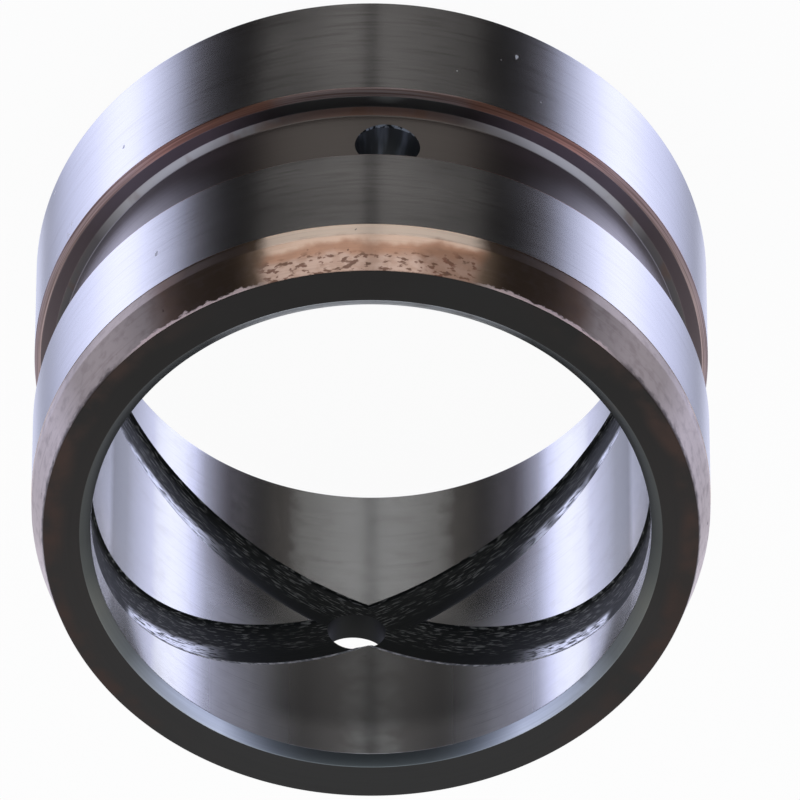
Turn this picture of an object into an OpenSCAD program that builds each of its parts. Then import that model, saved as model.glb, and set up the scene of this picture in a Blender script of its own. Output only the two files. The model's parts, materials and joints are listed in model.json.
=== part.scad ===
// Hardened steel pin bushing with a grease groove around the outside and crossed
// oil grooves in the bore. It stands on its plain end, with the lead-in end on top.

/* [Ring] */
// Bore, ground to size for the pin
bore_d = 70; // [50:1:110]
// Wall between the bore and the ground outside
wall = 7.5; // [6:0.5:14]
// Length from end to end
length = 56; // [50:1:110]

/* [Ends] */
// Angle of the lead-in taper on the top end, from the axis
lead_angle = 15; // [8:1:25]
// Height of the lead-in taper
lead_h = 5.6; // [3:0.1:8]
// Height of the band below the taper that is left as turned
turned_band_h = 2.1; // [1:0.1:4]
// How far the turned band lies below the ground outside
turned_relief = 0.05; // [0.05:0.01:0.3]
// Width of the bevel around the bore on the top face
mouth_w = 1.4; // [0.5:0.1:2]
// Depth of that bevel into the bore
mouth_h = 1; // [0.5:0.1:2.5]
// Bevel on both edges of the plain end
plain_bevel = 1; // [0.3:0.1:1.5]

/* [Grease groove] */
// How far the groove's middle lies below the middle of the length
grease_offset = 1.6; // [0:0.1:4]
// Width between the groove's side walls
grease_w = 12.7; // [9:0.1:16]
// Depth below the ground outside
grease_depth = 3.2; // [2:0.1:3.8]
// Radius in the corners of the groove's floor
grease_corner = 1.2; // [0.3:0.1:1.8]
// Bevel on the groove's two edges
grease_bevel = 0.75; // [0.2:0.05:1.2]

/* [Oil grooves] */
// Width of each oil groove, square to its path
oil_w = 7; // [3:0.1:8]
// Depth of each oil groove into the wall
oil_depth = 0.9; // [0.6:0.1:2]
// Bore left between an oil groove and each end at the widest swing
oil_end_land = 4.2; // [2.5:0.1:10]
// Angle around the bore from the oil holes to the places where the grooves cross
oil_turn = 2.4; // [0:0.1:5]

/* [Oil holes] */
// Diameter of the two oil holes
hole_d = 8; // [4:0.5:10]
// Bevel where the holes open into the grease groove
hole_bevel = 0.25; // [0.1:0.05:0.5]
// Lean of the line that both holes are drilled on, down towards the front
hole_lean = 1.4; // [0:0.1:2.5]

/* [Hidden] */
bore_r = bore_d / 2;
outside_r = bore_r + wall;
turned_r = outside_r - turned_relief;
lead_z = length - lead_h;
turned_z = lead_z - turned_band_h;
face_r = turned_r - lead_h * tan(lead_angle);
middle_z = length / 2;
grease_r = outside_r - grease_depth;
grease_z = middle_z - grease_offset;
grease_walls = [grease_z - grease_w / 2, grease_z + grease_w / 2];
oil_swing = middle_z - oil_end_land - oil_w / 2;
// Stations along one oil groove, and steps across its section
oil_stations = 72;
oil_steps = 8;
// How far its sides go straight into the wall before they curve into its floor
oil_side = 0.2;
// How square the curve is: 1 is a half round, 0 a rectangle
oil_squareness = 0.7;
// How far a cutter stands clear of the surface that it cuts
clear = 1.5;
$fn = 180;

// A sine or cosine pushed out towards the corners of its square
function squared(v) = sign(v) * pow(abs(v), oil_squareness);

// Section of an oil groove as [across, into the wall], closed inside the bore
oil_section = concat(
    [for (i = [0:oil_steps])
        let (a = 180 * i / oil_steps)
        [oil_w / 2 * squared(cos(a)), oil_side + (oil_depth - oil_side) * squared(sin(a))]],
    [[-oil_w / 2, -clear], [oil_w / 2, -clear]]
);

// Outline of the blank as [radius, height]
blank_outline = [
    [bore_r + plain_bevel, 0],
    [outside_r - plain_bevel, 0],
    [outside_r, plain_bevel],
    [outside_r, turned_z],
    [turned_r, turned_z],
    [turned_r, lead_z],
    [face_r, length],
    [bore_r + mouth_w, length],
    [bore_r, length - mouth_h],
    [bore_r, plain_bevel]
];

// One station of an oil groove, t degrees around from the front crossing. The path is
// where a tilted plane meets the bore, so its height follows a sine.
function oil_station(t, hand) =
    let (
        out = [sin(t), -cos(t), 0],
        around = [cos(t), sin(t), 0],
        up = [0, 0, 1],
        slope = hand * atan(oil_swing * cos(t) / bore_r),
        across = up * cos(slope) - around * sin(slope),
        middle = up * (middle_z + hand * oil_swing * sin(t))
    )
    [for (p = oil_section) middle + out * (bore_r + p[1]) + across * p[0]];

module ring_blank() {
    rotate_extrude()
        polygon(blank_outline);
}

module grease_groove() {
    rotate_extrude() {
        translate([grease_r, grease_walls[0] + grease_corner])
            square([grease_depth + clear, grease_w - 2 * grease_corner]);
        translate([grease_r + grease_corner, grease_walls[0]])
            square([grease_depth - grease_corner + clear, grease_w]);
        for (corner_z = [grease_walls[0] + grease_corner, grease_walls[1] - grease_corner])
            translate([grease_r + grease_corner, corner_z])
                circle(r = grease_corner);
        polygon([
            [outside_r - grease_bevel, grease_walls[0]],
            [outside_r + clear, grease_walls[0] - grease_bevel - clear],
            [outside_r + clear, grease_walls[1] + grease_bevel + clear],
            [outside_r - grease_bevel, grease_walls[1]]
        ]);
    }
}

// hand is 1 for the groove that rises to the right of the front crossing, -1 for the other
module oil_groove(hand) {
    corners = len(oil_section);
    rotate([0, 0, oil_turn])
        polyhedron(
            points = [for (s = [0:oil_stations - 1]) each oil_station(360 * s / oil_stations, hand)],
            faces = [
                for (s = [0:oil_stations - 1], c = [0:corners - 1])
                    let (
                        here = s * corners,
                        there = (s + 1) % oil_stations * corners,
                        next = (c + 1) % corners
                    )
                    each [
                        [here + c, there + c, there + next],
                        [here + c, there + next, here + next]
                    ]
            ]
        );
}

// Both holes are drilled in one pass through the middle of the ring, and their edges
// are broken where they open into the floor of the grease groove
module oil_holes() {
    translate([0, 0, middle_z])
        rotate([90 + hole_lean, 0, 0]) {
            cylinder(d = hole_d, h = 2 * (outside_r + clear), center = true);
            for (side = [0, 180])
                rotate([side, 0, 0])
                    translate([0, 0, grease_r - hole_bevel])
                        cylinder(d1 = hole_d, d2 = hole_d + 4 * hole_bevel, h = 2 * hole_bevel);
        }
}

module bushing() {
    color("slategray")
        difference() {
            ring_blank();
            grease_groove();
            oil_holes();
            oil_groove(1);
            oil_groove(-1);
        }
}

bushing();
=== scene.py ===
import json
import math

import bpy
from mathutils import Matrix, Vector


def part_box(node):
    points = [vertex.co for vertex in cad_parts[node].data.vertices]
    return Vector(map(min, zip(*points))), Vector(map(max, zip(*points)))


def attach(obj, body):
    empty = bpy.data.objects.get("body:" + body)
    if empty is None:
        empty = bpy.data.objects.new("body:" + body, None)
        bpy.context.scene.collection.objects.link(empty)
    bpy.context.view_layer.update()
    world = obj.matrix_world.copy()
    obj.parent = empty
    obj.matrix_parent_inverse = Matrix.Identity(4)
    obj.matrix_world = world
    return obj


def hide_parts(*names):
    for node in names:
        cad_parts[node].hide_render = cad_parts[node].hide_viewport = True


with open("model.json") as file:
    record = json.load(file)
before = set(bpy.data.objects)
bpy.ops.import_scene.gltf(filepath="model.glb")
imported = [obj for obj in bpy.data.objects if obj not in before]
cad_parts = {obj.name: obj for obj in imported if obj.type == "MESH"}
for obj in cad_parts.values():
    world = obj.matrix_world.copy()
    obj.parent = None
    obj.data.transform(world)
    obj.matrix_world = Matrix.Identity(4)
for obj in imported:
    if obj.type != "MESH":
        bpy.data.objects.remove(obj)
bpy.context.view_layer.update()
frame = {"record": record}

# The ring: one piece of bearing steel, turned and bored from bar, hardened in a furnace, then
# ground outside and honed in the bore. Its section is cut standing beside the axis and spun
# round it, as a lathe does.
mm = 0.001
top_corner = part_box("bushing")[1]
outside_r = top_corner.x
length = top_corner.z
bore_r = next(m["dims"]["r_mm"] for m in frame["record"]["mounts"] if m["name"] == "bore") * mm
lead_slope = math.radians(15)
lead_h = 5.6 * mm
turned_band_h = 2.1 * mm
turned_relief = 0.05 * mm
lead_z = length - lead_h
turned_z = lead_z - turned_band_h
turned_r = outside_r - turned_relief
mouth_w = 1.4 * mm
mouth_h = 1.0 * mm
plain_bevel = 1.0 * mm
middle_z = length / 2
grease_offset = 1.6 * mm
grease_half = 6.35 * mm
grease_depth = 3.2 * mm
grease_z = middle_z - grease_offset
grease_r = outside_r - grease_depth
grease_walls = (grease_z - grease_half, grease_z + grease_half)
grease_bevel = 0.75 * mm
grease_corner = 0.85 * mm
edge_round = 0.12 * mm
round_steps = 2
turn_steps = 720
cut_reach = 1e-7
seam_gap = 1e-6
same_size = 0.01 * mm

bpy.ops.object.select_all(action="DESELECT")
bpy.ops.mesh.primitive_plane_add(size=1, rotation=(math.pi / 2, 0, 0),
                                 location=((bore_r + outside_r) / 2, 0, length / 2))
ring = bpy.context.object
ring.name = "steel_ring"
ring.scale = (outside_r - bore_r, length, 1)
bpy.ops.object.transform_apply(location=True, rotation=True, scale=True)


def cut_along(x, z, out_x, out_z, clear=True):
    """Cuts what is being edited along the plane through (x, z) that faces (out_x, out_z), and
    takes off what lies on its outer side."""
    bpy.ops.mesh.select_all(action="SELECT")
    bpy.ops.mesh.bisect(plane_co=(x, 0, z), plane_no=(out_x, 0, out_z),
                        clear_outer=clear, threshold=cut_reach)


def take_out(r_low, r_high, z_low, z_high):
    """Takes the block between these radii and heights out of the section."""
    for r in (r_low, r_high):
        cut_along(r, 0, 1, 0, clear=False)
    for z in (z_low, z_high):
        cut_along(0, z, 0, 1, clear=False)
    bpy.ops.object.mode_set(mode="OBJECT")
    for face in ring.data.polygons:
        face.select = r_low < face.center.x < r_high and z_low < face.center.z < z_high
    bpy.ops.object.mode_set(mode="EDIT")
    bpy.ops.mesh.delete(type="FACE")


def pick_corners(test):
    """Selects the corners of the section whose radius and height pass the test."""
    bpy.ops.mesh.select_all(action="DESELECT")
    bpy.ops.object.mode_set(mode="OBJECT")
    for corner in ring.data.vertices:
        corner.select = test(corner.co.x, corner.co.z)
    bpy.ops.object.mode_set(mode="EDIT")


def near(a, b):
    """Whether two sizes are the same."""
    return abs(a - b) < same_size


bpy.ops.object.mode_set(mode="EDIT")
bpy.ops.mesh.select_mode(type="FACE")
take_out(turned_r, outside_r + mm, turned_z, length + mm)
take_out(grease_r, outside_r + mm, *grease_walls)
cut_along(turned_r, lead_z, math.cos(lead_slope), math.sin(lead_slope))
cut_along(bore_r + mouth_w, length, -mouth_h, mouth_w)
cut_along(bore_r + plain_bevel, 0, -1, -1)
cut_along(outside_r - plain_bevel, 0, 1, -1)
bpy.ops.mesh.select_all(action="SELECT")
bpy.ops.mesh.dissolve_limited(angle_limit=math.radians(1))
bpy.ops.mesh.select_mode(type="VERT")
for wall_end, size in ((outside_r, grease_bevel), (grease_r, grease_corner)):
    pick_corners(lambda r, z: near(r, wall_end) and any(near(z, wall) for wall in grease_walls))
    bpy.ops.mesh.bevel(offset=size, affect="VERTICES", segments=1)
pick_corners(lambda r, z: not near(z, turned_z))
bpy.ops.mesh.bevel(offset=edge_round, affect="VERTICES", segments=round_steps)
bpy.ops.mesh.select_all(action="SELECT")
bpy.ops.mesh.delete(type="ONLY_FACE")
bpy.ops.mesh.select_all(action="SELECT")
bpy.ops.mesh.spin(steps=turn_steps, angle=2 * math.pi, center=(0, 0, 0), axis=(0, 0, 1),
                  use_auto_merge=False)
bpy.ops.mesh.select_all(action="SELECT")
bpy.ops.mesh.remove_doubles(threshold=seam_gap)
bpy.ops.mesh.normals_make_consistent(inside=False)
bpy.ops.object.mode_set(mode="OBJECT")

# The ring's finishes. The furnace left scale of many colours wherever the steel was turned or
# milled, and the grinding wheel took it off again on the outside and in the bore. The colours go
# by how far round a place lies from the side that the camera faces, and that part of them is
# painted reflection and shade of the studio round the ring.
show_side = math.radians(3.04)


def tone(red, green, blue):
    """The linear colour that a screen shows as these values from 0 to 255."""
    return [((c / 255 + 0.055) / 1.055) ** 2.4 if c > 10 else c / 255 / 12.92
            for c in (red, green, blue)] + [1]


def facing_at(degrees):
    """How far a place this many degrees off the shown side faces it, from 1 down to -1."""
    return math.cos(math.radians(degrees))


def new_finish(name, metallic=1, rough=0.4, spread=0, specular=0.5):
    """A material, its node tree and its shader. With a spread, fine lines round the axis draw its
    shine out across them."""
    finish = bpy.data.materials.new(name)
    finish.use_nodes = True
    tree = finish.node_tree
    shader = tree.nodes["Principled BSDF"]
    shader.inputs["Metallic"].default_value = metallic
    shader.inputs["Roughness"].default_value = rough
    shader.inputs["Specular IOR Level"].default_value = specular
    if spread:
        shader.inputs["Anisotropic"].default_value = spread
        shader.inputs["Anisotropic Rotation"].default_value = 0.25
        tangent = tree.nodes.new("ShaderNodeTangent")
        tangent.direction_type = "RADIAL"
        tangent.axis = "Z"
        tree.links.new(tangent.outputs[0], shader.inputs["Tangent"])
    return finish, tree, shader


def feed(tree, socket, value):
    """Links a socket to another one, or sets its number or colour."""
    if isinstance(value, bpy.types.NodeSocket):
        tree.links.new(value, socket)
    else:
        socket.default_value = value


def maths(tree, operation, a, b=0.0):
    """The result of one sum."""
    node = tree.nodes.new("ShaderNodeMath")
    node.operation = operation
    feed(tree, node.inputs[0], a)
    feed(tree, node.inputs[1], b)
    return node.outputs[0]


def times(tree, *values):
    """The product of several numbers."""
    result = values[0]
    for value in values[1:]:
        result = maths(tree, "MULTIPLY", result, value)
    return result


def step_up(tree, value, start, end):
    """0 below start and 1 above end, with a soft step between them. It steps down instead where
    start is the larger one."""
    node = tree.nodes.new("ShaderNodeMapRange")
    node.interpolation_type = "SMOOTHSTEP"
    feed(tree, node.inputs["Value"], value)
    node.inputs["From Min"].default_value = min(start, end)
    node.inputs["From Max"].default_value = max(start, end)
    node.inputs["To Min"].default_value = 0 if start < end else 1
    node.inputs["To Max"].default_value = 1 if start < end else 0
    return node.outputs[0]


def blend(tree, share, a, b):
    """Colour a, turning to b as share goes from 0 to 1."""
    node = tree.nodes.new("ShaderNodeMix")
    node.data_type = "RGBA"
    feed(tree, node.inputs[0], share)
    feed(tree, node.inputs[6], a)
    feed(tree, node.inputs[7], b)
    return node.outputs[2]


def ramp(tree, share, stops):
    """The colour of the stops, each one a place from 0 to 1 and a colour, at this share."""
    node = tree.nodes.new("ShaderNodeValToRGB")
    elements = node.color_ramp.elements
    while len(elements) < len(stops):
        elements.new(0.5)
    for element, (place, colour) in zip(elements, stops):
        element.position = place
        element.color = colour
    tree.links.new(share, node.inputs[0])
    return node.outputs[0]


def scaled(tree, vector, x, y, z):
    """The vector with its three parts multiplied by x, y and z."""
    node = tree.nodes.new("ShaderNodeVectorMath")
    node.operation = "MULTIPLY"
    feed(tree, node.inputs[0], vector)
    node.inputs[1].default_value = (x, y, z)
    return node.outputs[0]


def cloud(tree, vector, scale, detail=3, w=None):
    """Soft noise about 0.5. With w it also changes along a fourth way."""
    node = tree.nodes.new("ShaderNodeTexNoise")
    node.noise_dimensions = "4D" if w is not None else "3D"
    feed(tree, node.inputs["Vector"], vector)
    if w is not None:
        feed(tree, node.inputs["W"], w)
    node.inputs["Scale"].default_value = scale
    node.inputs["Detail"].default_value = detail
    return node.outputs["Fac"]


def shown_parts(tree, x, y):
    """How far a direction points to the side that the picture shows, and how far to its right."""
    facing = maths(tree, "SUBTRACT", times(tree, x, math.sin(show_side)),
                   times(tree, y, math.cos(show_side)))
    sideways = maths(tree, "ADD", times(tree, x, math.cos(show_side)),
                     times(tree, y, math.sin(show_side)))
    return facing, sideways


def stained(tree, tint, pattern, start, end, strength, colour):
    """The tint, with a share of this colour where the pattern climbs from start to end."""
    return blend(tree, times(tree, step_up(tree, pattern, start, end), strength), tint, colour)


class RingPlace:
    """Where a point lies on the ring: its radius, its height, its bearing as a vector that grows
    only round the axis and along it, and how far it faces the shown side and the right of that."""

    def __init__(self, tree):
        self.point = tree.nodes.new("ShaderNodeTexCoord").outputs["Object"]
        parts = tree.nodes.new("ShaderNodeSeparateXYZ")
        tree.links.new(self.point, parts.inputs[0])
        x, y, self.height = parts.outputs
        squares = maths(tree, "ADD", maths(tree, "POWER", x, 2), maths(tree, "POWER", y, 2))
        self.radius = maths(tree, "SQRT", squares)
        self.x = maths(tree, "DIVIDE", x, self.radius)
        self.y = maths(tree, "DIVIDE", y, self.radius)
        self.facing, self.sideways = shown_parts(tree, self.x, self.y)
        bearing = tree.nodes.new("ShaderNodeCombineXYZ")
        tree.links.new(self.x, bearing.inputs[0])
        tree.links.new(self.y, bearing.inputs[1])
        tree.links.new(self.height, bearing.inputs[2])
        self.bearing = bearing.outputs[0]

    def grain(self, tree, to_radian, to_metre, detail, w=None):
        """Noise with this many grains to a radian round the axis, and to a metre along it."""
        vector = scaled(tree, self.bearing, to_radian, to_radian, to_metre)
        return cloud(tree, vector, 1, detail=detail, w=w)

    def around(self, tree, stops, fray=None):
        """Colours by degrees off the shown side, with the same ones on both sides of it."""
        facing = self.facing if fray is None else maths(tree, "ADD", self.facing, fray)
        share = maths(tree, "MULTIPLY", maths(tree, "SUBTRACT", 1, facing), 0.5)
        return ramp(tree, share, [((1 - facing_at(degrees)) / 2, colour)
                                  for degrees, colour in stops])

    def within(self, tree, start, end, soft=3):
        """1 where the bearing off the shown side, in degrees, lies between start and end."""
        inner = step_up(tree, self.facing, facing_at(start - soft),
                        facing_at(start + soft)) if start else 1.0
        outer = step_up(tree, self.facing, facing_at(end + soft), facing_at(end - soft))
        return times(tree, outer, inner)


def turned_lines(tree, place, pitch):
    """Fine lines round the axis, pitch apart, that fade in and out along their length."""
    return place.grain(tree, 3, 1 / pitch, detail=2, w=times(tree, place.radius, 1 / pitch))


def press(tree, shader, height, depth):
    """Presses a height pattern into the surface, depth deep."""
    node = tree.nodes.new("ShaderNodeBump")
    node.inputs["Distance"].default_value = depth
    node.inputs["Strength"].default_value = 1
    tree.links.new(height, node.inputs["Height"])
    tree.links.new(node.outputs[0], shader.inputs["Normal"])


def wear(finish, test):
    """Gives the ring's faces whose middle passes the test, by radius and height, this finish."""
    ring.data.materials.append(finish)
    slot = len(ring.data.materials) - 1
    for face in ring.data.polygons:
        x, y, z = face.center
        if test(math.hypot(x, y), z):
            face.material_index = slot


def ground_steel():
    """Bright steel off the grinding wheel: fine lines round it, coarser marks and a nick here and
    there. In front, where the steel mirrors the dark, it is painted darker and its coarser marks
    are painted stronger, as painted shade."""
    finish, tree, shader = new_finish("ground_steel", spread=0.8)
    place = RingPlace(tree)
    lines = turned_lines(tree, place, 0.12 * mm)
    clouds = cloud(tree, place.point, 90, detail=4)
    # Painted shade: within 32 degrees of the shown side the steel is painted darker and its marks
    # stronger.
    front = place.within(tree, 0, 32, soft=4)
    tint = blend(tree, clouds, tone(200, 200, 202), tone(212, 212, 213))
    tint = blend(tree, front, tint, blend(tree, clouds, tone(186, 182, 180), tone(200, 196, 194)))
    tint = stained(tree, tint, lines, 0.5, 0.8, 0.3, tone(160, 158, 160))
    marks = place.grain(tree, 5, 1 / (0.6 * mm), detail=4)
    seen_marks = maths(tree, "ADD", 0.1, times(tree, front, 0.3))
    tint = stained(tree, tint, marks, 0.46, 0.72, seen_marks, tone(158, 152, 148))
    nicks = step_up(tree, place.grain(tree, 30, 420, detail=1), 0.785, 0.8)
    tree.links.new(blend(tree, nicks, tint, tone(235, 235, 240)), shader.inputs["Base Color"])
    rough = maths(tree, "ADD", 0.15, times(tree, clouds, 0.06))
    tree.links.new(maths(tree, "ADD", rough, times(tree, nicks, 0.4)), shader.inputs["Roughness"])
    press(tree, shader, place.grain(tree, 9, 500, detail=2), 0.003 * mm)
    return finish


def honed_bore():
    """The honed bore: bright, with darker and brighter strips along it that are painted reflection
    and shade of the boards round it. The strips lie differently in its upper and lower part, and
    above the middle the back is painted darker short of the mouth, as painted shade. Hone streaks
    run along it, and a haze lies on both sides near the mouth."""
    finish, tree, shader = new_finish("honed_bore", spread=0.72)
    place = RingPlace(tree)
    lines = turned_lines(tree, place, 0.14 * mm)
    clouds = cloud(tree, place.point, 90, detail=4)
    streaks = place.grain(tree, 12, 420, detail=5)
    in_lower = step_up(tree, place.height, middle_z + 3 * mm, middle_z - 9 * mm)
    fray = times(tree, maths(tree, "SUBTRACT", streaks, 0.5), 0.02)
    # Painted reflection and shade: the bright and dark strips by bearing off the shown side, in
    # flank, upper and lower.
    flank = [
        (0, tone(200, 200, 202)), (105, tone(196, 196, 194)), (109.5, tone(196, 196, 194)),
        (112, tone(132, 132, 126)), (118, tone(137, 137, 131)), (121, tone(156, 156, 154)),
        (127.5, tone(177, 177, 181)), (129.5, tone(196, 196, 191)), (133.5, tone(210, 210, 205)),
        (138, tone(220, 220, 218)), (140, tone(216, 216, 221))]
    upper = place.around(tree, flank + [
        (143.5, tone(200, 200, 201)), (148, tone(222, 220, 220)), (154, tone(244, 242, 240)),
        (162, tone(200, 198, 196)), (166, tone(180, 177, 175)), (174, tone(182, 179, 177)),
        (177, tone(212, 212, 210)), (180, tone(212, 212, 210))], fray=fray)
    lower = place.around(tree, flank + [
        (143, tone(180, 179, 179)), (149, tone(162, 156, 152)), (153, tone(216, 210, 204)),
        (159, tone(224, 218, 212)), (162, tone(180, 174, 170)), (165, tone(240, 238, 236)),
        (180, tone(250, 250, 250))], fray=fray)
    tint = blend(tree, in_lower, upper, lower)
    # Painted shade: the back of the bore between the middle and the mouth is painted darker.
    painted_back_shade = times(tree, step_up(tree, place.height, middle_z - 2 * mm, middle_z + 6 * mm),
                 step_up(tree, place.height, length - 4 * mm, length - 9 * mm),
                 step_up(tree, place.facing, facing_at(156), facing_at(163)), 0.65)
    tint = blend(tree, painted_back_shade, tint, tone(110, 108, 107))
    tint = stained(tree, tint, lines, 0.5, 0.8, 0.35, tone(160, 156, 154))
    tint = stained(tree, tint, streaks, 0.5, 0.75, 0.1, tone(130, 120, 114))
    tree.links.new(tint, shader.inputs["Base Color"])
    haze = times(tree, step_up(tree, place.height, middle_z - 2 * mm, middle_z + 8 * mm),
                 place.within(tree, 145, 163, soft=4))
    rough = maths(tree, "ADD", 0.2, times(tree, clouds, 0.02))
    tree.links.new(maths(tree, "ADD", rough, times(tree, haze, 0.14)), shader.inputs["Roughness"])
    press(tree, shader, place.grain(tree, 9, 500, detail=2), 0.001 * mm)
    return finish


def turned_scale_and_reflection():
    """The band and taper as they left the furnace: cream and copper scale in front, umber beside
    that and lilac at the sides, with specks. These colours by bearing are partly scale and partly
    painted reflection and shade. The edge near the top is painted pale and made rougher beside
    the front, as a painted highlight, and painted dark farther round, as painted shade."""
    finish, tree, shader = new_finish("turned_scale_and_reflection", metallic=0.95, rough=0.32, spread=0.96)
    place = RingPlace(tree)
    lines = turned_lines(tree, place, 0.22 * mm)
    fine = place.grain(tree, 34, 1500, detail=4)
    uneven = maths(tree, "SUBTRACT", place.grain(tree, 9, 240, detail=4), 0.5)
    ragged = maths(tree, "ADD", place.height,
                   times(tree, maths(tree, "SUBTRACT", fine, 0.5), 1.5 * mm))
    swept = maths(tree, "ADD", place.height, times(tree, uneven, 4 * mm))
    mottle = place.grain(tree, 26, 800, detail=5)

    umber = tone(106, 89, 75)
    lilac = tone(236, 222, 216)
    dusty = tone(179, 166, 157)
    # Partly painted reflection and shade: umber, dusty and lilac by bearing off the shown side.
    sides = place.around(tree, [
        (20, umber), (33, umber), (37.5, tone(138, 115, 100)), (42, dusty), (60, dusty),
        (70, lilac), (100, lilac), (140, dusty), (180, dusty)], fray=times(tree, uneven, 0.06))
    sides = stained(tree, sides, mottle, 0.45, 0.7, 0.3, tone(120, 104, 98))

    copper = step_up(tree, swept, lead_z - 0.6 * mm, lead_z + 1.4 * mm)
    pink = step_up(tree, swept, lead_z + 2 * mm, lead_z + 3.4 * mm)
    front_tone = blend(tree, copper, tone(250, 228, 210), tone(166, 122, 98))
    front_tone = blend(tree, pink, front_tone, tone(190, 164, 152))
    front_tone = blend(tree, times(tree, step_up(tree, mottle, 0.4, 0.62), copper, 0.4),
                       front_tone, tone(142, 104, 84))
    on_taper = step_up(tree, place.height, lead_z - 0.05 * mm, lead_z + 0.05 * mm)
    front_tone = blend(tree, on_taper, front_tone,
                       blend(tree, times(tree, copper, 0.75), tone(196, 168, 150), front_tone))
    patch = times(tree, step_up(tree, swept, lead_z + 0.6 * mm, lead_z + 2.2 * mm),
                  step_up(tree, maths(tree, "ADD", place.sideways, times(tree, uneven, 0.2)),
                          -0.12, -0.18))
    front_tone = blend(tree, times(tree, patch, 0.6), front_tone, tone(104, 74, 58))
    # Partly painted reflection: the cream and copper front within about 20 degrees of the shown
    # side.
    front = step_up(tree, maths(tree, "ADD", place.facing, times(tree, uneven, 0.03)),
                    facing_at(20.5), facing_at(17))
    tint = blend(tree, front, sides, front_tone)
    tint = stained(tree, tint, lines, 0.5, 0.8, 0.25, tone(130, 112, 102))

    speckled = times(tree, front, step_up(tree, swept, lead_z + 1.6 * mm, lead_z + 3 * mm))
    specks = times(tree, speckled, step_up(tree, fine, 0.52, 0.6))
    tint = blend(tree, times(tree, specks, 0.8), tint,
                 blend(tree, mottle, tone(112, 62, 50), tone(56, 56, 44)))
    dots = place.grain(tree, 30, 800, detail=2)
    tint = stained(tree, tint, dots, 0.74, 0.77, 0.7, tone(84, 62, 58))

    # Painted highlight: a pale, rougher top edge 20 to 46 degrees off the shown side. Painted
    # shade: a dark top edge farther round.
    chipped_and_highlight = times(tree, step_up(tree, ragged, length - 0.6 * mm, length - 0.35 * mm),
                    place.within(tree, 20, 46, soft=3))
    painted_edge_shade = times(tree, step_up(tree, ragged, length - 1 * mm, length - 0.1 * mm),
                    step_up(tree, place.facing, facing_at(47), facing_at(53)))
    tint = blend(tree, chipped_and_highlight, tint, tone(246, 226, 222))
    tint = blend(tree, times(tree, painted_edge_shade, 0.85), tint, tone(52, 42, 38))
    tree.links.new(tint, shader.inputs["Base Color"])
    tree.links.new(maths(tree, "ADD", 0.3, times(tree, chipped_and_highlight, 0.35)), shader.inputs["Roughness"])
    return finish


def end_scale():
    """Black furnace scale on the end faces, in darker and lighter patches, browner towards the
    outside at the sides, over faint turning marks. It is painted darker on the shown side and
    lighter round the back, as painted shade."""
    finish, tree, shader = new_finish("end_scale", metallic=0, specular=0.2, rough=0.5)
    place = RingPlace(tree)
    lines = turned_lines(tree, place, 0.3 * mm)
    patches = cloud(tree, place.point, 70, detail=5)
    # Painted shade: darker on the shown side and lighter round the back.
    dark = place.around(tree, [
        (0, tone(27, 24, 22)), (50, tone(29, 27, 25)), (80, tone(42, 38, 36)),
        (110, tone(46, 43, 41)), (180, tone(47, 47, 46))])
    tint = blend(tree, times(tree, lines, 0.3), dark, tone(18, 18, 17))
    outer = step_up(tree, maths(tree, "ADD", place.radius, times(tree, patches, 6 * mm)),
                    outside_r - 1.5 * mm, outside_r + 0.5 * mm)
    brown = times(tree, outer, place.within(tree, 40, 140, soft=20),
                  step_up(tree, cloud(tree, place.point, 190, detail=4), 0.3, 0.62))
    tint = blend(tree, brown, tint, tone(62, 45, 38))
    tint = stained(tree, tint, patches, 0.5, 0.7, 0.4, tone(30, 30, 28))
    tree.links.new(tint, shader.inputs["Base Color"])
    return finish


def mouth_scale_and_reflection():
    """Blue-grey scale on the bevel round the bore's mouth, painted lighter and darker by bearing as
    painted reflection and shade: pale in front, darkest at the back and the sides, and bluish white
    between them.
    """
    finish, tree, shader = new_finish("mouth_scale_and_reflection", metallic=0.95, rough=0.3, spread=0.7)
    place = RingPlace(tree)
    lines = turned_lines(tree, place, 0.2 * mm)
    patches = cloud(tree, place.point, 110, detail=4)
    # Painted reflection and shade: colours by bearing off the shown side.
    tint = place.around(tree, [
        (0, tone(180, 184, 188)), (20, tone(180, 184, 188)), (34, tone(74, 76, 75)),
        (92, tone(74, 76, 74)), (100, tone(92, 95, 93)), (108, tone(124, 126, 122)),
        (122, tone(134, 140, 142)), (132, tone(196, 204, 214)), (148, tone(222, 230, 240)),
        (154, tone(172, 180, 190)), (160, tone(122, 130, 138)), (167, tone(96, 103, 108)),
        (180, tone(92, 100, 104))])
    tint = blend(tree, times(tree, lines, 0.4), tint, tone(90, 94, 98))
    tint = stained(tree, tint, patches, 0.58, 0.68, 0.5, tone(96, 88, 80))
    tree.links.new(tint, shader.inputs["Base Color"])
    return finish


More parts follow.
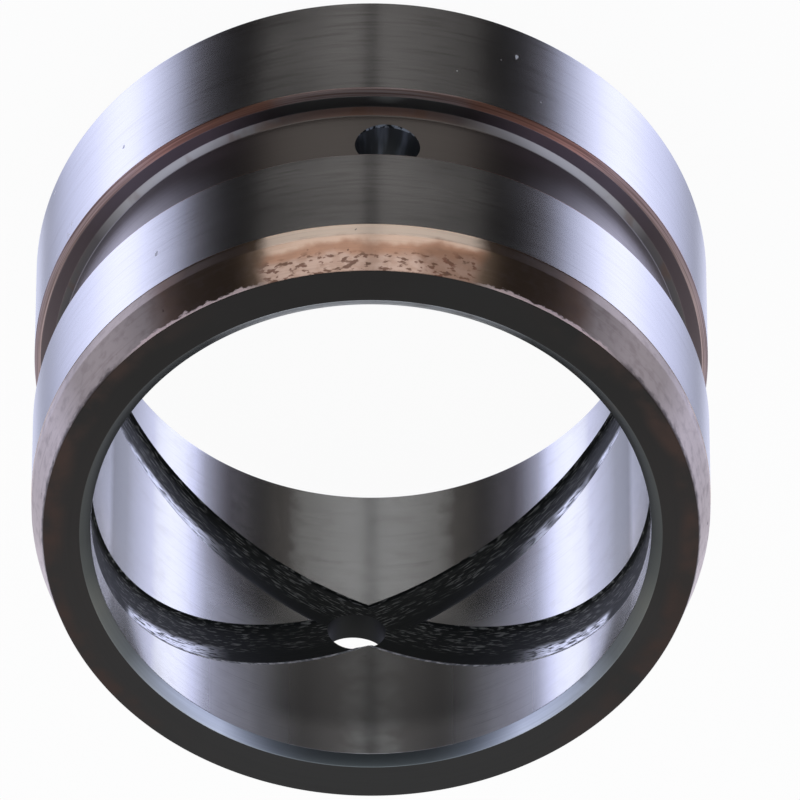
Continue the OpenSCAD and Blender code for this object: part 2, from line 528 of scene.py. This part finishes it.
def groove_scale_and_reflection():
    """The grease groove, from the floor out: dim turned steel, paler corners with some rust, black
    scale on the walls and brown scale on the bevels. Their colours change by bearing off the shown
    side, and that change is painted reflection and shade."""
    finish, tree, shader = new_finish("groove_scale_and_reflection", rough=0.33, spread=0.8)
    place = RingPlace(tree)
    lines = turned_lines(tree, place, 0.16 * mm)
    rust = place.grain(tree, 7, 150, detail=3)

    # Painted reflection and shade: floor, corner, wall and bevel colours by bearing off the shown
    # side.
    floor_tone = place.around(tree, [
        (0, tone(112, 106, 102)), (28, tone(116, 108, 104)), (36, tone(126, 120, 118)),
        (44, tone(162, 158, 158)), (52, tone(196, 192, 196)), (100, tone(196, 192, 196)),
        (180, tone(170, 164, 160))])
    floor_tone = blend(tree, times(tree, lines, 0.4), floor_tone, tone(96, 90, 86))
    corner_tone = place.around(tree, [
        (0, tone(128, 104, 96)), (16, tone(108, 98, 94)), (22, tone(150, 146, 142)),
        (32, tone(180, 178, 172)), (50, tone(186, 184, 180)), (60, tone(110, 106, 106)),
        (100, tone(100, 98, 98)), (180, tone(110, 106, 104))])
    corner_tone = stained(tree, corner_tone, rust, 0.54, 0.62, 0.4, tone(120, 90, 74))
    wall_tone = place.around(tree, [
        (0, tone(96, 98, 99)), (12, tone(92, 94, 94)), (18, tone(84, 78, 80)),
        (30, tone(140, 128, 136)), (48, tone(140, 130, 140)), (60, tone(116, 106, 110)),
        (180, tone(112, 104, 106))])
    bevel_tone = place.around(tree, [
        (0, tone(140, 128, 128)), (15, tone(128, 112, 110)), (18, tone(116, 84, 72)),
        (28, tone(132, 94, 78)), (38, tone(178, 134, 120)), (46, tone(192, 164, 158)),
        (76, tone(206, 184, 182)), (180, tone(190, 166, 158))])
    bevel_tone = stained(tree, bevel_tone, lines, 0.42, 0.62, 0.6, tone(84, 60, 52))

    tint = blend(tree, step_up(tree, place.radius, grease_r + 0.05 * mm, grease_r + 0.12 * mm),
                 floor_tone, corner_tone)
    tint = blend(tree, step_up(tree, place.radius, grease_r + grease_corner - 0.05 * mm,
                               grease_r + grease_corner + 0.05 * mm), tint, wall_tone)
    tint = blend(tree, step_up(tree, place.radius, outside_r - grease_bevel - 0.05 * mm,
                               outside_r - grease_bevel + 0.03 * mm), tint, bevel_tone)
    tree.links.new(tint, shader.inputs["Base Color"])
    return finish


skin = 0.05 * mm
taper_depth = 2 * mm
groove_reach = grease_half + grease_bevel + 0.1 * mm
wear(ground_steel(), lambda r, z: True)
wear(honed_bore(), lambda r, z: r < bore_r + skin)
wear(turned_scale_and_reflection(), lambda r, z: z > turned_z and r > outside_r - taper_depth)
wear(end_scale(), lambda r, z: z > length - skin or z < skin)
wear(mouth_scale_and_reflection(), lambda r, z: z > length - mouth_h and r < bore_r + mouth_w)
wear(groove_scale_and_reflection(),
     lambda r, z: grease_r - mm < r < outside_r - same_size and abs(z - grease_z) < groove_reach)

# The two oil holes: drilled through the middle of the ring on a line that leans a little, with
# their edges broken in the grease groove. The front one has wandered: it leans more, and it
# narrows towards the bore.
hole_r = 3.8 * mm
front_r = 4.1 * mm
front_end_r = 2.9 * mm
front_flare = 0.15 * mm
back_flare = 0.08 * mm
flare_end = 1.2
hole_lean = math.radians(1.4)
front_lean = math.radians(2)
cone_start = bore_r - 2 * mm


def drilled_scale():
    """Black scale in the holes, with pale bluish streaks along the drill's way in the front one
    that are partly drill marks and partly painted glints. The back hole is painted near black, as
    painted shade.
    """
    finish, tree, shader = new_finish("drilled_scale", metallic=0.6, rough=0.45)
    place = RingPlace(tree)
    streaks = cloud(tree, scaled(tree, place.point, 1, 0.08, 0.6), 700, detail=2)
    # Partly painted glints: the pale bluish streaks along the drill's way.
    tint = blend(tree, step_up(tree, streaks, 0.45, 0.7), tone(54, 57, 60), tone(100, 106, 116))
    # Painted shade: the hole facing away from the shown side is painted near black.
    tint = blend(tree, step_up(tree, place.facing, 0.5, -0.5), tint, tone(22, 24, 25))
    tree.links.new(tint, shader.inputs["Base Color"])
    return finish


def edge_wear_and_highlight(name, metallic, light, dark):
    """An edge in broken patches of a light and a dark colour: worn steel at the holes' broken
    edges, and a painted highlight on the oil grooves' lip.
    """
    finish, tree, shader = new_finish(name, metallic=metallic, rough=0.45)
    place = RingPlace(tree)
    patches = cloud(tree, place.point, 1300, detail=3)
    tree.links.new(blend(tree, step_up(tree, patches, 0.42, 0.6), dark, light),
                   shader.inputs["Base Color"])
    return finish


def carve(cutter, *finishes):
    """Cuts a shape out of the ring, and leaves the cutter's finishes on the cut."""
    for finish in finishes:
        cutter.data.materials.append(finish)
        if finish.name not in ring.data.materials:
            ring.data.materials.append(finish)
    cut = ring.modifiers.new("cut", "BOOLEAN")
    cut.operation = "DIFFERENCE"
    cut.solver = "EXACT"
    cut.material_mode = "TRANSFER"
    cut.object = cutter
    bpy.ops.object.select_all(action="DESELECT")
    bpy.context.view_layer.objects.active = ring
    bpy.ops.object.modifier_apply(modifier=cut.name)
    bpy.data.objects.remove(cutter)


def oil_drill():
    """The cutter for both holes: a rod through the middle of the ring, with a narrow flare where
    it passes the floor of the grease groove. Its front part is a cone and bent a little."""
    bpy.ops.mesh.primitive_cylinder_add(vertices=96, radius=hole_r, depth=2 * outside_r)
    drill = bpy.context.object
    flares = ((1, front_flare), (-1, back_flare))
    bpy.ops.object.mode_set(mode="EDIT")
    cut_along(0, cone_start, 0, 1, clear=False)
    for side, flare in flares:
        for level in (grease_r - flare, grease_r + flare, grease_r + flare_end * flare):
            cut_along(0, side * level, 0, 1, clear=False)
    bpy.ops.object.mode_set(mode="OBJECT")
    for corner in drill.data.vertices:
        for side, flare in flares:
            if near(side * corner.co.z, grease_r + flare):
                corner.co.xy *= 1 + 2 * flare / hole_r
        if corner.co.z > 0:
            share = min((corner.co.z - bore_r) / (grease_r - front_flare - bore_r), 1)
            corner.co.xy *= (front_end_r + (front_r - front_end_r) * share) / hole_r
            corner.co.y += (grease_r - corner.co.z) * math.tan(front_lean)
    for face in drill.data.polygons:
        if near(abs(face.center.z), grease_r):
            face.material_index = 1
    drill.data.transform(Matrix.Translation((0, 0, middle_z))
                         @ Matrix.Rotation(math.pi / 2 + hole_lean, 4, "X"))
    return drill


broken_edge = edge_wear_and_highlight("broken_edge", 1, tone(134, 142, 154), tone(36, 38, 40))
carve(oil_drill(), drilled_scale(), broken_edge)

# The two oil grooves: milled in the bore, each one loop round a tilted plane. They cross a little
# beside the holes. Honing has rolled the edge nearer the top over into a lip, whose brightness
# is a painted highlight.
oil_w = 7 * mm
oil_depth = 0.6 * mm
oil_end_land = 4.2 * mm
oil_swing = middle_z - oil_end_land - oil_w / 2
oil_squareness = 0.7
oil_turn = math.radians(2.4)
top_lip = (0.5 * mm, 0.2 * mm)
low_lip = (0.08 * mm, 0.06 * mm)
lip_end = 135
lip_reach = 1.2
low_lip_from = 0.6 * bore_r
clear = 1.5 * mm
stations = 360
section_steps = 48


def milled_scale():
    """Black scale in the oil grooves, with dashes of bare steel along the cutter's way, and below
    the edge nearer the top a bright strip of bare steel, 116 to 146 degrees off the shown side,
    that is partly wear and partly a painted highlight."""
    finish, tree, shader = new_finish("milled_scale", metallic=0.1, rough=0.5, specular=0.18)
    place = RingPlace(tree)
    sine = maths(tree, "ADD", times(tree, place.x, math.cos(oil_turn)),
                 times(tree, place.y, math.sin(oil_turn)))
    level = maths(tree, "SUBTRACT", place.height, middle_z)
    swing = times(tree, sine, oil_swing)
    rising = maths(tree, "SUBTRACT", level, swing)
    falling = maths(tree, "ADD", level, swing)
    is_rising = maths(tree, "LESS_THAN", maths(tree, "ABSOLUTE", rising),
                      maths(tree, "ABSOLUTE", falling))
    across = maths(tree, "ADD", falling,
                   times(tree, is_rising, maths(tree, "SUBTRACT", rising, falling)))
    dashes = place.grain(tree, 26, 0, detail=4, w=times(tree, across, 1 / (0.22 * mm)))
    patches = cloud(tree, place.point, 130, detail=3)
    worn = times(tree, step_up(tree, dashes, 0.52, 0.64), step_up(tree, patches, 0.36, 0.56),
                 step_up(tree, across, 1.6 * mm, 0.4 * mm))
    # Partly painted highlight: the bright strip below the top edge, 116 to 146 degrees off the
    # shown side.
    worn_strip_and_highlight = times(tree, step_up(tree, across, 0.3 * mm, 1.5 * mm),
                   place.within(tree, 116, 146, soft=5), step_up(tree, dashes, 0.36, 0.52),
                   step_up(tree, cloud(tree, place.point, 90, detail=3), 0.36, 0.5))
    tint = blend(tree, times(tree, worn, 0.9), tone(26, 29, 28), tone(136, 138, 134))
    tint = blend(tree, worn_strip_and_highlight, tint, tone(232, 234, 240))
    tree.links.new(maths(tree, "ADD", 0.1, times(tree, worn_strip_and_highlight, 0.8)), shader.inputs["Metallic"])
    tree.links.new(maths(tree, "SUBTRACT", 0.5, times(tree, worn_strip_and_highlight, 0.2)),
                   shader.inputs["Roughness"])
    tree.links.new(tint, shader.inputs["Base Color"])
    press(tree, shader, dashes, 0.05 * mm)
    return finish


def squared(value):
    """A sine or cosine pushed out towards the corners of its square."""
    return math.copysign(abs(value) ** oil_squareness, value)


def groove_section(angle, lip):
    """A point of the groove's section, as its distance from the middle and its depth in the wall.
    The angle is 0 in the middle of the floor and 90 where the lip starts, a shallow bevel with
    this width and depth. At lip_end it has gone a little past the wall, and 180 lies inside the
    bore."""
    width, drop = lip
    half = (oil_w - width) / 2
    if angle <= 90:
        turn = math.radians(angle)
        return half * squared(math.sin(turn)), drop + (oil_depth - drop) * squared(math.cos(turn))
    if angle <= lip_end:
        share = (angle - 90) / (lip_end - 90) * lip_reach
        return half + width * share, drop * (1 - share)
    return (half + width) * (180 - angle) / (180 - lip_end) * lip_reach, -clear


def oil_groove(hand):
    """The cutter for one groove: a torus in the bore's wall, shaped station by station."""
    bpy.ops.object.select_all(action="DESELECT")
    bpy.ops.mesh.primitive_torus_add(major_radius=bore_r, minor_radius=oil_w / 2,
                                     major_segments=stations, minor_segments=section_steps)
    cutter = bpy.context.object
    for corner in cutter.data.vertices:
        x, y, z = corner.co
        station = math.atan2(x, -y)
        angle = math.degrees(math.atan2(z, math.hypot(x, y) - bore_r))
        sideways, depth = groove_section(round(abs(angle), 3), top_lip if angle > 0 else low_lip)
        slope = hand * math.atan(oil_swing * math.cos(station) / bore_r)
        out = Vector((math.sin(station), -math.cos(station), 0))
        around = Vector((math.cos(station), math.sin(station), 0))
        across = Vector((0, 0, 1)) * math.cos(slope) - around * math.sin(slope)
        middle = Vector((0, 0, middle_z + hand * oil_swing * math.sin(station)))
        corner.co = middle + out * (bore_r + depth) + across * math.copysign(sideways, angle)
    cutter.data.transform(Matrix.Rotation(oil_turn, 4, "Z"))
    return cutter


def mark_lip(cutter, hand):
    """Gives the lip on the side nearer the top the cutter's second finish, the painted highlight:
    all of it in the upper half of the bore, and in the lower half only at the sides."""
    for face in cutter.data.polygons:
        x, y, z = face.center
        station = math.atan2(x, -y) - oil_turn
        rise = z - middle_z - hand * oil_swing * math.sin(station)
        depth = math.hypot(x, y) - bore_r
        shown = z > middle_z or abs(x) > low_lip_from
        if rise > 0 and shown and depth < top_lip[1] and depth > -clear / 2:
            face.material_index = 1


milled = milled_scale()
# Painted highlight: the lip is painted white and pale grey, without metal, in broken patches.
painted_lip_highlight = edge_wear_and_highlight("painted_lip_highlight", 0, tone(252, 252, 255), tone(150, 152, 160))
for hand in (1, -1):
    cutter = oil_groove(hand)
    mark_lip(cutter, hand)
    carve(cutter, milled, painted_lip_highlight)

bpy.ops.object.select_all(action="DESELECT")
ring.select_set(True)
bpy.context.view_layer.objects.active = ring
sharpest_bend = math.radians(19)
bpy.ops.object.shade_smooth_by_angle(angle=sharpest_bend)
flat_lands = ring.modifiers.new("flat_lands", "WEIGHTED_NORMAL")
flat_lands.mode = "FACE_AREA"
flat_lands.keep_sharp = True
bpy.ops.object.modifier_apply(modifier=flat_lands.name)
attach(ring, "root")
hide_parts("bushing")

# The studio: a pale floor and soft light. The world is brighter or darker by direction, as white
# and black boards round the object make it: low ones near the floor, front ones up to level with
# the object, upper ones, a lamp overhead and a dark patch underfoot.
floor_r = 3.0
paper_share = 0.95
bpy.ops.mesh.primitive_circle_add(vertices=64, radius=floor_r, fill_type="NGON", location=(0, 0, 0))
floor = bpy.context.object
floor.name = "floor"
floor.visible_glossy = False
paper = bpy.data.materials.new("paper")
paper.use_nodes = True
tree = paper.node_tree
tree.nodes.clear()
white = tree.nodes.new("ShaderNodeEmission")
pale = tree.nodes.new("ShaderNodeBsdfDiffuse")
pale.inputs["Color"].default_value = (0.85, 0.85, 0.85, 1)
seen = tree.nodes.new("ShaderNodeLightPath")
mix = tree.nodes.new("ShaderNodeMixShader")
tree.links.new(times(tree, seen.outputs["Is Camera Ray"], paper_share), mix.inputs[0])
tree.links.new(pale.outputs[0], mix.inputs[1])
tree.links.new(white.outputs[0], mix.inputs[2])
output = tree.nodes.new("ShaderNodeOutputMaterial")
tree.links.new(mix.outputs[0], output.inputs[0])
floor.data.materials.append(paper)

world = bpy.data.worlds.new("studio")
bpy.context.scene.world = world
world.use_nodes = True
tree = world.node_tree
direction = tree.nodes.new("ShaderNodeTexCoord").outputs["Generated"]
parts = tree.nodes.new("ShaderNodeSeparateXYZ")
tree.links.new(direction, parts.inputs[0])
x, y, height = parts.outputs
front_part, right_part = shown_parts(tree, x, y)
bearing = maths(tree, "ARCTAN2", right_part, front_part)
bearing = maths(tree, "DIVIDE", maths(tree, "ABSOLUTE", bearing), math.pi)


def boards(tree, bearing, stops):
    """Light round the object, from stops of degrees off the shown side, level and share of blue."""
    return ramp(tree, bearing, [
        (degrees / 180, (level * (1 - 0.7 * blue), level * (1 - 0.62 * blue), level, 1))
        for degrees, level, blue in stops])


low_light = boards(tree, bearing, [
    (0, 0.05, 0), (1.6, 0.05, 0), (3.2, 0.135, 0), (8, 0.13, 0), (16, 0.108, 0), (24, 0.076, 0),
    (33, 0.055, 0), (37, 0.045, 0), (40, 0.018, 0), (50, 0.02, 0), (56, 0.04, 0.1),
    (60, 0.09, 0.2), (65, 0.22, 0.35), (72, 0.78, 0.42), (80, 1.4, 0.42), (88, 2.0, 0.36),
    (97, 2.0, 0.32), (104, 1.8, 0.36), (112, 1.5, 0.42), (120, 1.35, 0.44), (128, 1.1, 0.44),
    (136, 0.8, 0.4), (144, 0.55, 0.35), (151, 0.5, 0.35), (156, 0.9, 0.35), (162, 1.3, 0.35),
    (180, 1.2, 0.3)])
front_light = boards(tree, bearing, [
    (0, 1, 0), (1.6, 1, 0), (3.2, 1.7, 0), (24, 1.5, 0), (31, 1.3, 0), (36, 0.03, 0),
    (60, 0.04, 0), (70, 0.18, 0.2), (80, 0.45, 0.3), (96, 0.5, 0.3), (110, 0.5, 0.3),
    (128, 0.6, 0.3), (145, 0.8, 0.3), (180, 1, 0.2)])
upper_light = boards(tree, bearing, [
    (0, 0.08, 0.1), (20, 0.1, 0.1), (34, 0.2, 0.1), (47, 0.5, 0.3), (56, 0.95, 0.35),
    (66, 1.15, 0.35), (74, 1.05, 0.3), (84, 0.6, 0.2), (96, 0.45, 0.1), (110, 0.5, 0),
    (130, 0.9, 0), (180, 1, 0)])
overhead = (2, 2, 2, 1)
underfoot = (0.25, 0.25, 0.27, 1)
backdrop = (1, 1, 1, 1)
light = blend(tree, step_up(tree, height, -0.7, -0.5), low_light, front_light)
light = blend(tree, step_up(tree, height, 0, 0.3), light, upper_light)
light = blend(tree, step_up(tree, height, 0.94, 0.99), light, overhead)
light = blend(tree, step_up(tree, height, -0.93, -0.98), light, underfoot)
seen = tree.nodes.new("ShaderNodeLightPath")
light = blend(tree, seen.outputs["Is Camera Ray"], light, backdrop)
tree.links.new(light, tree.nodes["Background"].inputs["Color"])

# The camera: far off with a long lens, as the picture shows hardly any perspective. It is turned
# over, so that the oil hole that faces it is at the top of the picture.
tilt = math.radians(36.41)
distance = 2.607
picture_width = 100.7 * mm
aim = Vector((0, 0, 28.5 * mm))
aside = 3.63 * mm
above = 0.63 * mm
back = Vector((math.sin(show_side) * math.sin(tilt), -math.cos(show_side) * math.sin(tilt),
               math.cos(tilt)))
right = Vector((-math.cos(show_side), -math.sin(show_side), 0))
up = back.cross(right)
camera_data = bpy.data.cameras.new("camera")
camera = bpy.data.objects.new("camera", camera_data)
bpy.context.scene.collection.objects.link(camera)
camera_data.sensor_width = 36
camera_data.lens = camera_data.sensor_width * distance / picture_width
camera_data.clip_end = 20
camera.matrix_world = (Matrix.Translation(aim + back * distance + right * aside + up * above)
                       @ Matrix((right, up, back)).transposed().to_4x4())
bpy.context.scene.camera = camera
bpy.context.scene.view_settings.view_transform = "Standard"
